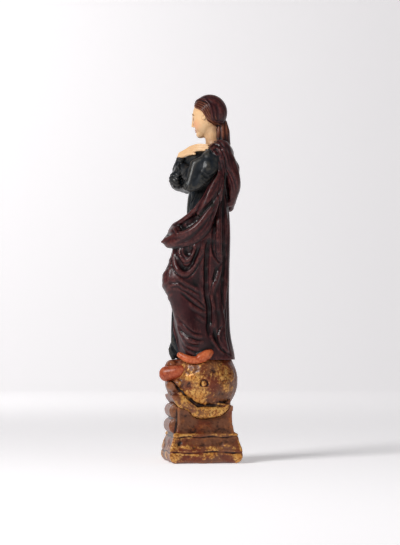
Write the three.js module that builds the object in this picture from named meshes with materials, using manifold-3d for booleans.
// A carved and painted Virgin on a gilded globe, which sits in a square moulded plinth.
// Millimetres, +Z up. The origin is the centre of the plinth's underside. She faces -Y, and her left is +X.

import * as THREE from 'three';
import { mergeVertices } from 'three/addons/utils/BufferGeometryUtils.js';
import { LoftGeometry } from 'three/addons/geometries/LoftGeometry.js';
import Module from 'manifold-3d';

// Driving dimensions
const FIGURE_HEIGHT = 361;        // from the underside of the hem to the crown of the veil
const GLOBE_RADIUS = 50;
const CROWN_CUT = 22;             // how much of the globe is planed off for her to stand on
const PLINTH_WIDTH = 98;          // over the bottom moulding
const MOULDING_HEIGHT = 17;       // the rounded bottom band
const SLOPE_HEIGHT = 22;          // from the band up to the fillet
const WAIST_WIDTH = 77;           // across the waisted block
const WAIST_HOLLOW = 6;           // how far each side of the block is scooped in
const CRADLE_FRONT = 62;          // block's front edge above the fillet
const CRADLE_BACK = 46;           // block's back edge above the fillet
const GLOBE_SINK = 22;            // globe's lowest point above the fillet
const JOINT_GAP = 0.3;            // between each two pieces that touch
const FOOT_ARCH = 1.6;            // height of the shallow arches along the bottom edge

// What follows from them
const filletHeight = MOULDING_HEIGHT + SLOPE_HEIGHT;
const globeCentre = filletHeight + GLOBE_SINK + GLOBE_RADIUS;
const globeCrown = globeCentre + GLOBE_RADIUS;
const standingHeight = globeCrown - CROWN_CUT;

// The carving's own numbers are drawn for a figure this tall, with z = 0 at the globe's lost crown.
const DRAWN_TOP = 339;
const DRAWN_FLOOR = -22;
const figureScale = (FIGURE_HEIGHT - JOINT_GAP) / (DRAWN_TOP - DRAWN_FLOOR);
const underside = standingHeight + JOINT_GAP;
const carving = new THREE.Matrix4()
  .makeScale(figureScale, figureScale, figureScale)
  .setPosition(0, 0, underside - figureScale * DRAWN_FLOOR);

const wasm = await Module();
wasm.setup();

// Solids

function solidFrom(geometry) {
  const bare = new THREE.BufferGeometry();
  bare.setAttribute('position', geometry.attributes.position);
  bare.setIndex(geometry.index);
  const merged = mergeVertices(bare, 1e-4);
  const mesh = new wasm.Mesh({
    numProp: 3,
    vertProperties: new Float32Array(merged.attributes.position.array),
    triVerts: new Uint32Array(merged.index.array),
  });
  return new wasm.Manifold(mesh);
}

function meshFrom(name, solid, material) {
  const made = solid.getMesh();
  const geometry = new THREE.BufferGeometry();
  geometry.setAttribute('position', new THREE.BufferAttribute(made.vertProperties, 3));
  geometry.setIndex(new THREE.BufferAttribute(made.triVerts, 1));
  geometry.computeVertexNormals();
  const mesh = new THREE.Mesh(geometry, material);
  mesh.name = name;
  return mesh;
}

const join = (solids) => solids.reduce((whole, solid) => whole.add(solid));

// Forms: each is a function of a point that gives its distance from the surface, negative inside

function blend(a, b, width) {
  const overlap = Math.max(width - Math.abs(a - b), 0) / width;
  return Math.min(a, b) - overlap * overlap * width / 4;
}

const ellipsoid = ([cx, cy, cz], [rx, ry, rz]) => (x, y, z) => {
  const near = Math.hypot((x - cx) / rx, (y - cy) / ry, (z - cz) / rz);
  return (near - 1) * Math.min(rx, ry, rz);
};

// A tapering limb through points of x, y, z and radius.
function limb(points) {
  const reach = Math.max(...points.map((p) => p[3]));
  const box = new THREE.Box3().setFromPoints(points.map((p) => new THREE.Vector3(...p)));
  return (x, y, z) => {
    const outside = Math.hypot(
      Math.max(box.min.x - x, 0, x - box.max.x),
      Math.max(box.min.y - y, 0, y - box.max.y),
      Math.max(box.min.z - z, 0, z - box.max.z),
    );
    if (outside > reach + 12) return outside - reach;
    let best = Infinity;
    for (let i = 0; i < points.length - 1; i++) {
      const [ax, ay, az, ar] = points[i];
      const [bx, by, bz, br] = points[i + 1];
      const [dx, dy, dz] = [bx - ax, by - ay, bz - az];
      const along = ((x - ax) * dx + (y - ay) * dy + (z - az) * dz) / (dx * dx + dy * dy + dz * dz);
      const t = Math.min(Math.max(along, 0), 1);
      const d = Math.hypot(x - ax - t * dx, y - ay - t * dy, z - az - t * dz) - (ar + t * (br - ar));
      best = Math.min(best, d);
    }
    return best;
  };
}

// Smooth values between the rows of a table whose first column is the height.
function between(table, z) {
  const last = table.length - 1;
  if (z <= table[0][0]) return table[0].slice(1);
  if (z >= table[last][0]) return table[last].slice(1);
  let i = 0;
  while (z > table[i + 1][0]) i++;
  const span = table[i + 1][0] - table[i][0];
  const t = (z - table[i][0]) / span;
  return table[i].slice(1).map((start, k) => {
    const end = table[i + 1][k + 1];
    const slope = (j) => {
      const [a, b] = [table[Math.max(j - 1, 0)], table[Math.min(j + 1, last)]];
      return (b[k + 1] - a[k + 1]) / (b[0] - a[0]) * span;
    };
    const [m, n] = [slope(i), slope(i + 1)];
    return start + t * (m + t * (3 * (end - start) - 2 * m - n + t * (m + n - 2 * (end - start))));
  });
}

// Robe: front, back and half width at each height
const ROBE = [
  [-30, -33, 45, 43],
  [-18, -33, 44, 42],
  [10, -33, 37, 39],
  [50, -33, 34, 39],
  [90, -34, 34, 41],
  [125, -29, 35, 42],
  [160, -21, 36, 40],
  [185, -20, 36, 34],
  [214, -18, 37, 33],
  [239, -15, 40, 37],
  [254, -9, 41, 37],
  [264, 0, 39, 29],
  [272, 5, 34, 17],
  [280, 8, 30, 11],
];
const ROBE_SQUARENESS = 2.3;

function robe(x, y, z) {
  const [front, back, half] = between(ROBE, z);
  const [middle, depth] = [(front + back) / 2, (back - front) / 2];
  const near = (Math.abs(x / half) ** ROBE_SQUARENESS
    + Math.abs((y - middle) / depth) ** ROBE_SQUARENESS) ** (1 / ROBE_SQUARENESS);
  return (near - 1) * Math.min(half, depth);
}

// Masses under the cloth
const thigh = limb([[18, -8, 146, 25], [19, -34, 81, 20]]);
const shin = limb([[19, -34, 80, 20], [26, -14, 8, 17]]);
const breast = ellipsoid([0, -3, 243], [31, 24, 25]);
const leftShoulder = limb([[35, 5, 249, 12], [24, 23, 261, 13], [8, 33, 264, 12]]);
const rightShoulder = limb([[-35, 5, 247, 12], [-24, 22, 260, 13], [-8, 32, 264, 12]]);
const leftArm = limb([[35, 18, 250, 13], [45, -10, 216, 14], [-4, -25, 240, 9]]);
const rightArm = limb([[-35, 16, 250, 13], [-45, -14, 214, 14], [4, -32, 243, 10]]);
const leftSleeve = ellipsoid([44, -12, 216], [12, 15, 13]);
const rightSleeve = ellipsoid([0, -31, 226], [18, 13, 17]);
const tunicHem = limb([[0, -28, 26, 9], [-4, -36, -14, 8]]);

// A swag of the mantle hanging across her back from shoulder to shoulder.
function backSwag(level) {
  const drop = 190 + 20 * level;
  const depth = 38 + 4 * Math.min(level, 1);
  const points = [];
  for (let i = -4; i <= 4; i++) {
    const t = i / 4;
    const rise = t * t * (46 - 12 * level) + Math.abs(t) * 6;
    points.push([40 * t, depth - 20 * t * t * t * t, drop + rise, 7 - 3 * t * t]);
  }
  return limb(points);
}

const MASSES = [
  [thigh, 12], [shin, 12], [breast, 6], [leftShoulder, 6], [rightShoulder, 6], [leftArm, 6], [leftSleeve, 6], [rightArm, 6], [rightSleeve, 6],
  [tunicHem, 8], [backSwag(0), 6], [backSwag(1), 6], [backSwag(2), 6],
];
const masses = (x, y, z) => MASSES.reduce((d, [form, width]) => blend(d, form(x, y, z), width), robe(x, y, z));

// Folds: each is drawn on one face of the block, as a carver does, and pushed in to the masses.
// A positive height is a ridge with a hollow along each side, and a negative one is a groove.
const LEFT = (u, z, depth) => [depth, u, z];
const RIGHT = (u, z, depth) => [-depth, u, z];
const FRONT = (u, z, depth) => [u, -depth, z];
const BACK = (u, z, depth) => [u, depth, z];

function drawnFold(face, points, height, width) {
  const curve = new THREE.SplineCurve(points.map((p) => new THREE.Vector2(...p)));
  const steps = Math.max(4, Math.round(curve.getLength() / 7));
  const path = [];
  for (const [i, { x: u, y: z }] of curve.getSpacedPoints(steps).entries()) {
    let depth = 72;
    while (depth > 0 && masses(...face(u, z, depth)) > 0) depth -= 1;
    const taper = Math.sin(Math.PI * (0.1 + 0.8 * i / steps));
    path.push([...face(u, z, depth), height * taper]);
  }
  const box = new THREE.Box3().setFromPoints(path.map((p) => new THREE.Vector3(...p)));
  box.expandByScalar(width);
  return { path, box, width };
}

// How far one fold lifts the surface at a point.
function lift({ path, box, width }, x, y, z) {
  if (x < box.min.x || y < box.min.y || z < box.min.z) return 0;
  if (x > box.max.x || y > box.max.y || z > box.max.z) return 0;
  let [best, height] = [width, 0];
  for (let i = 0; i < path.length - 1; i++) {
    const [ax, ay, az, ah] = path[i];
    const [bx, by, bz, bh] = path[i + 1];
    const [dx, dy, dz] = [bx - ax, by - ay, bz - az];
    const along = ((x - ax) * dx + (y - ay) * dy + (z - az) * dz) / (dx * dx + dy * dy + dz * dz);
    const t = Math.min(Math.max(along, 0), 1);
    const d = Math.hypot(x - ax - t * dx, y - ay - t * dy, z - az - t * dz);
    if (d < best) [best, height] = [d, ah + t * (bh - ah)];
  }
  const t = best / width;
  const round = (1 - t * t) ** 2;
  return height * round * (height > 0 ? 1 - 1.6 * t * t : 1);
}

// Folds spread evenly between two drawn lines with the same number of points.
function foldFan(face, first, last, count, height, width) {
  return Array.from({ length: count }, (_, i) => {
    const t = i / (count - 1);
    const line = first.map((p, k) => [p[0] + t * (last[k][0] - p[0]), p[1] + t * (last[k][1] - p[1])]);
    return drawnFold(face, line, height, width);
  });
}

const folds = [
  // hanging loops of cloth over the left thigh
  drawnFold(LEFT, [[-42, 113], [-39, 100], [-30, 92], [-21, 95], [-13, 107], [-7, 123]], 4, 8),
  drawnFold(LEFT, [[-38, 121], [-30, 111], [-23, 115], [-17, 128]], 3, 6),
  // pulls from the left knee back and down
  drawnFold(LEFT, [[-49, 80], [-35, 76], [-23, 66], [-11, 55], [-1, 42]], 3.5, 7),
  drawnFold(LEFT, [[-33, 86], [-17, 74], [-5, 67]], 3, 7),
  drawnFold(LEFT, [[-25, 57], [-9, 43], [-1, 30]], 2.5, 7),
  // sweep round the left shin to the hem
  drawnFold(LEFT, [[-42, 55], [-35, 30], [-25, 15], [-13, 6], [1, 5]], 3.5, 7),
  drawnFold(LEFT, [[-33, 14], [-23, 4], [-8, -1]], 3, 6),
  // the deep groove between the leg and the hanging mantle, and the long folds behind it
  drawnFold(LEFT, [[2, 134], [2, 73], [3, 30], [9, 7], [17, -14]], -10, 8),
  drawnFold(LEFT, [[22, 236], [16, 178], [17, 141], [18, 108], [14, 80], [13, 50]], 4, 8),
  drawnFold(LEFT, [[25, 178], [25, 120], [22, 60], [24, 20]], -5, 6),
  drawnFold(LEFT, [[12, 70], [14, 30], [20, 2], [30, -10]], 3, 7),
  // mantle edges over the shoulders
  ...foldFan(LEFT, [[2, 262], [14, 268], [28, 262]], [[6, 250], [18, 256], [34, 244]], 3, 2.5, 5),
  ...foldFan(RIGHT, [[2, 262], [14, 268], [28, 262]], [[6, 250], [18, 256], [34, 244]], 3, 2.5, 5),
  // long pleats down the back and the right side
  ...foldFan(BACK, [[-34, 180], [-33, 100], [-40, -10]], [[24, 180], [24, 100], [34, -10]], 6, 4.5, 7),
  ...foldFan(RIGHT, [[-6, 160], [-4, 80], [-8, -10]], [[24, 200], [22, 90], [30, -10]], 3, 4.5, 8),
  // loops of the apron across the front, and the tunic's straight folds under it
  ...foldFan(FRONT, [[34, 118], [8, 112], [-26, 130]], [[30, 84], [0, 86], [-30, 108]], 3, 3, 7),
  ...foldFan(FRONT, [[-31, 88], [-31, 40], [-35, -14]], [[0, 66], [0, 30], [2, -14]], 4, 4, 7),
  // sleeve creases
  ...foldFan(LEFT, [[8, 212], [-2, 218], [-14, 232]], [[2, 206], [-10, 206], [-22, 214]], 2, 2.5, 6),
  ...foldFan(FRONT, [[-38, 214], [-20, 222], [6, 228]], [[-34, 205], [-16, 210], [8, 214]], 3, 2.5, 6),
];

const draped = (x, y, z) => folds.reduce((d, fold) => d - lift(fold, x, y, z), masses(x, y, z));

// Head: skull, jaw, nose, neck, hair and the close veil, turned to her right and bowed a little
const HEAD_CENTRE = new THREE.Vector3(-1, 12, 309);
const HEAD_TURN = THREE.MathUtils.degToRad(24);
const HEAD_BOW = THREE.MathUtils.degToRad(8);
const intoHead = new THREE.Matrix4().makeRotationX(-HEAD_BOW)
  .multiply(new THREE.Matrix4().makeRotationZ(HEAD_TURN))
  .multiply(new THREE.Matrix4().makeTranslation(...HEAD_CENTRE.clone().negate()));

const skull = ellipsoid([0, 1, 3], [18, 22, 23]);
const face = ellipsoid([0, -8, -8], [14, 12.5, 19]);
const nose = limb([[0, -18, 2, 2.2], [0, -22.5, -8, 2.6]]);
const chin = ellipsoid([0, -15, -23], [5.5, 5, 4.5]);
const veil = ellipsoid([0, 3, 5], [21, 23, 25]);
const veilFront = ellipsoid([0, -24, -8], [15, 18, 25]);
const sides = (points) => [-1, 1].map((side) => limb(points.map(([x, ...rest]) => [side * x, ...rest])));
const locks = sides([[2, -18, 15, 3], [11, -15, 8, 3.5], [15, -8, -4, 4], [14, 2, -20, 4]]);
const veilEdge = sides([[0, -18, 23, 3], [11, -14, 18, 3], [18, -5, 4, 3], [18, 3, -14, 3], [13, 10, -28, 3.5]]);
const neck = limb([[0, 20, 262, 12], [-1, 14, 292, 10.5]]);
const veilFall = limb([[-1, 27, 292, 8], [1, 29, 276, 9], [0, 32, 258, 10]]);
const headPoint = new THREE.Vector3();

function head(x, y, z) {
  const at = headPoint.set(x, y, z).applyMatrix4(intoHead).toArray();
  let d = blend(skull(...at), face(...at), 6);
  d = blend(d, nose(...at), 3);
  d = blend(d, chin(...at), 5);
  d = blend(d, Math.max(veil(...at), -veilFront(...at)), 1.5);
  for (const strand of [...locks, ...veilEdge]) d = blend(d, strand(...at), 2);
  d = blend(d, neck(x, y, z), 4);
  return blend(d, veilFall(x, y, z), 5);
}

// Skins a form with rings of points, found by walking in from outside along each ray from an axis.
function skin(form, { bottom, top, rings, columns, reach, centre }) {
  const sections = [];
  for (let i = 0; i <= rings; i++) {
    const z = bottom + (top - bottom) * i / rings;
    const [cx, cy] = centre(z);
    const ring = [];
    for (let j = 0; j < columns; j++) {
      const angle = 2 * Math.PI * j / columns;
      const [ux, uy] = [Math.cos(angle), Math.sin(angle)];
      let [far, near] = [reach, reach];
      while (near > 0.4 && form(cx + ux * near, cy + uy * near, z) > 0) {
        far = near;
        near -= 1.5;
      }
      near = Math.max(near, 0.4);
      for (let k = 0; k < 6; k++) {
        const middle = (near + far) / 2;
        if (form(cx + ux * middle, cy + uy * middle, z) > 0) far = middle;
        else near = middle;
      }
      ring.push(new THREE.Vector3(cx + ux * near, cy + uy * near, z));
    }
    sections.push(ring);
  }
  return solidFrom(new LoftGeometry(sections, { capStart: true, capEnd: true }));
}

const BODY_AXIS = [[-22, 6], [40, 2], [80, -4], [140, 2], [200, 9], [262, 17], [280, 20]];
const HEAD_AXIS = [[262, 20], [292, 13], [340, 12]];
const drapery = skin(draped, {
  bottom: DRAWN_FLOOR, top: 272, rings: 48, columns: 42, reach: 74,
  centre: (z) => [0, ...between(BODY_AXIS, z)],
});
const headSolid = skin(head, {
  bottom: 262, top: DRAWN_TOP, rings: 20, columns: 23, reach: 36,
  centre: (z) => [-1, ...between(HEAD_AXIS, z)],
});

// A roll of cloth, finger, palm or shoe: a closed tube through points of x, y, z and radius.
function tube(points, { sides = 7, flatness = 1, steps = 2 } = {}) {
  const path = new THREE.CatmullRomCurve3(points.map((p) => new THREE.Vector3(p[0], p[1], p[2])));
  const count = (points.length - 1) * steps;
  const frames = path.computeFrenetFrames(count, false);
  const sections = frames.normals.map((normal, i) => {
    const t = i / count;
    const k = Math.min(Math.floor(t * (points.length - 1)), points.length - 2);
    const local = t * (points.length - 1) - k;
    const end = i === 0 || i === count ? 0.55 : 1;
    const radius = end * (points[k][3] + local * (points[k + 1][3] - points[k][3]));
    return Array.from({ length: sides }, (_, j) => {
      const angle = 2 * Math.PI * j / sides;
      return path.getPoint(t)
        .addScaledVector(normal, radius * Math.cos(angle) * flatness)
        .addScaledVector(frames.binormals[i], radius * Math.sin(angle));
    });
  });
  return solidFrom(new LoftGeometry(sections, { capStart: true, capEnd: true }));
}

// The mantle's gathered edge, round the front from hip to hip, with its turned lip above
const rolls = [
  tube([
    [34, 27, 238, 5], [41, 18, 206, 6], [43, 4, 176, 8], [43, -9, 156, 9], [39, -23, 145, 8.5],
    [30, -37, 141, 8], [16, -46, 139, 7.5], [1, -45, 140, 7], [-15, -38, 144, 7], [-30, -24, 152, 6],
    [-38, -6, 166, 5],
  ]),
  tube([
    [40, 8, 204, 4], [40, -3, 188, 4], [38, -12, 176, 4.5], [32, -22, 166, 5], [22, -31, 160, 5],
    [8, -36, 158, 5], [-8, -34, 160, 5], [-24, -24, 166, 4], [-34, -10, 174, 4],
  ], { sides: 6 }),
  tube([[14, -45, 139, 7], [12, -51, 137, 5], [10, -55, 135, 3]], { sides: 6 }),
];

// A hand laid flat on the breast, from the wrist to the finger tips.
function hand(wrist, knuckles, tips, spread) {
  const [w, k, t, s] = [wrist, knuckles, tips, spread].map((v) => new THREE.Vector3(...v));
  const at = (v, n, radius) => [...v.clone().addScaledVector(s, n), radius];
  const middle = k.clone().lerp(t, 0.5).add(new THREE.Vector3(0, -2, 1));
  const fingers = [-1.5, -0.5, 0.5, 1.5].map((n) => {
    const tip = t.clone().lerp(middle, Math.abs(n - 0.3) * 0.25);
    return tube([at(k, n, 2.5), at(middle, n * 0.95, 2.3), at(tip, n * 0.85, 1.9)], { sides: 6 });
  });
  const palm = [-1, 0, 1].map((n) => tube([at(w, n * 0.8, 4.6), at(k, n * 1.2, 3.4)], { steps: 1 }));
  const thumb = tube([at(w.clone().lerp(k, 0.4), -1.4, 3), at(k.clone().lerp(t, 0.3), -2.6, 2.2)], { sides: 6 });
  return join([...palm, ...fingers, thumb]);
}
const rightHand = hand([5, -30, 247], [17, -21, 256], [34, 0, 261], [1.4, 0.2, -3.1]);
const leftHand = hand([-12, -27, 242], [-19, -20, 250], [-31, -5, 260], [-1.9, -0.2, -3]);

// Shoes on the globe, each from heel to toe, and drawn a little larger as the globe's sockets
const shoe = (points, sides, grown) => tube(points.map(([x, y, z, r]) => [x, y, z, r + grown]), { sides });
const shoes = (grown) => [
  shoe([[36, 16, -12, 6], [38, 4, -18, 8], [37, -12, -21, 8], [31, -30, -16, 5]], 8, grown),
  shoe([[8, -18, -12, 10], [17, -33, -28, 13], [21, -45, -38, 13.5], [22, -55, -40, 11]], 9, grown),
];

// Figure, with a flat underside
const floorCutter = solidFrom(new THREE.BoxGeometry(200, 200, 100).translate(0, 0, DRAWN_FLOOR - 50));
const body = join([drapery, headSolid, rightHand, leftHand, ...rolls]).subtract(floorCutter);
const figure = join([body, ...shoes(0)]).transform(carving.elements);

// Globe, with a ledge of carved ground under the front shoe. Drawn larger, it cuts its own cradle.
function ball(grown) {
  const sphere = new THREE.SphereGeometry(GLOBE_RADIUS + grown, 24, 16).rotateX(Math.PI / 2);
  const ledge = shoe([[2, -38, -58, 6], [18, -46, -58, 8], [30, -38, -57, 6]], 8, grown);
  return solidFrom(sphere.translate(0, 0, globeCentre)).add(ledge.transform(carving.elements));
}
const crownCutter = new THREE.BoxGeometry(4 * GLOBE_RADIUS, 4 * GLOBE_RADIUS, 2 * GLOBE_RADIUS)
  .translate(0, 0, standingHeight + GLOBE_RADIUS);
const sockets = join(shoes(2 * JOINT_GAP)).transform(carving.elements);
const globe = ball(0).subtract(solidFrom(crownCutter)).subtract(sockets);

// Plinth: square rings with cut corners and scooped sides, stacked from the floor up
const band = PLINTH_WIDTH / 2;
const waist = WAIST_WIDTH / 2;
const CORNER_CUT = 4;
const SIDE_POINTS = 5;

function plinthRing(height, half, hollow, fall = 0) {
  const ring = [];
  for (let side = 0; side < 4; side++) {
    for (let i = 0; i < SIDE_POINTS; i++) {
      const t = 2 * i / (SIDE_POINTS - 1) - 1;
      const p = new THREE.Vector3(half - hollow * (1 - t * t), t * (half - CORNER_CUT), height);
      p.applyAxisAngle(new THREE.Vector3(0, 0, 1), side * Math.PI / 2);
      p.z -= fall * (p.y + half) / (2 * half);
      ring.push(p);
    }
  }
  return ring;
}

function plinthBody() {
  const h = MOULDING_HEIGHT;
  const rings = [
    plinthRing(0, band - 3, 0),
    plinthRing(0.2 * h, band - 0.5, 0),
    plinthRing(0.5 * h, band, 0),
    plinthRing(0.85 * h, band - 1, 0),
    plinthRing(0.95 * h, band - 2.5, 0),
    plinthRing(1.05 * h, band - 1.5, 0),
    plinthRing(h + 0.5 * SLOPE_HEIGHT, (band + waist) / 2 - 0.5, 1),
    plinthRing(filletHeight - 3, waist + 2, 1),
    plinthRing(filletHeight - 1, waist + 2.5, 1),
    plinthRing(filletHeight + 1, waist + 0.5, 1),
    plinthRing(filletHeight + 10, waist - 1, 0.5 * WAIST_HOLLOW),
    plinthRing(filletHeight + 24, waist - 1.5, WAIST_HOLLOW),
    plinthRing(filletHeight + CRADLE_FRONT, waist, WAIST_HOLLOW, CRADLE_FRONT - CRADLE_BACK),
  ];
  return solidFrom(new LoftGeometry(rings, { capStart: true, capEnd: true }));
}

// Two shallow arches along each bottom edge leave feet at the corners and the middles.
function archCutters() {
  const span = 0.34 * PLINTH_WIDTH;
  const radius = (span * span / 4 + FOOT_ARCH * FOOT_ARCH) / (2 * FOOT_ARCH);
  return [-1, 1].flatMap((side) => [0, 1].map((turn) => {
    const bar = new THREE.CylinderGeometry(radius, radius, 2 * PLINTH_WIDTH, 60);
    bar.translate(side * 0.25 * PLINTH_WIDTH, 0, FOOT_ARCH - radius).rotateZ(turn * Math.PI / 2);
    return solidFrom(bar);
  }));
}

// Two swelling scrolls across the front face
function scroll(height, length, radius) {
  const roll = new THREE.CapsuleGeometry(radius, length, 3, 10).rotateZ(Math.PI / 2);
  return solidFrom(roll.translate(0, -waist, filletHeight + height));
}

let plinth = join([plinthBody(), scroll(13, 40, 11), scroll(32, 34, 9)])
  .subtract(ball(2 * JOINT_GAP))
  .subtract(sockets);
for (const cutter of archCutters()) plinth = plinth.subtract(cutter);

const paintedWood = new THREE.MeshStandardMaterial({ color: 0x4a2a2c, roughness: 0.45, metalness: 0 });
const gildedWood = new THREE.MeshStandardMaterial({ color: 0xa87840, roughness: 0.5, metalness: 0.2 });
const brownWood = new THREE.MeshStandardMaterial({ color: 0x7a4a30, roughness: 0.5, metalness: 0.1 });

const statue = new THREE.Group();
statue.add(meshFrom('figure', figure, paintedWood));
statue.add(meshFrom('globe', globe, gildedWood));
statue.add(meshFrom('plinth', plinth, brownWood));

export default statue;
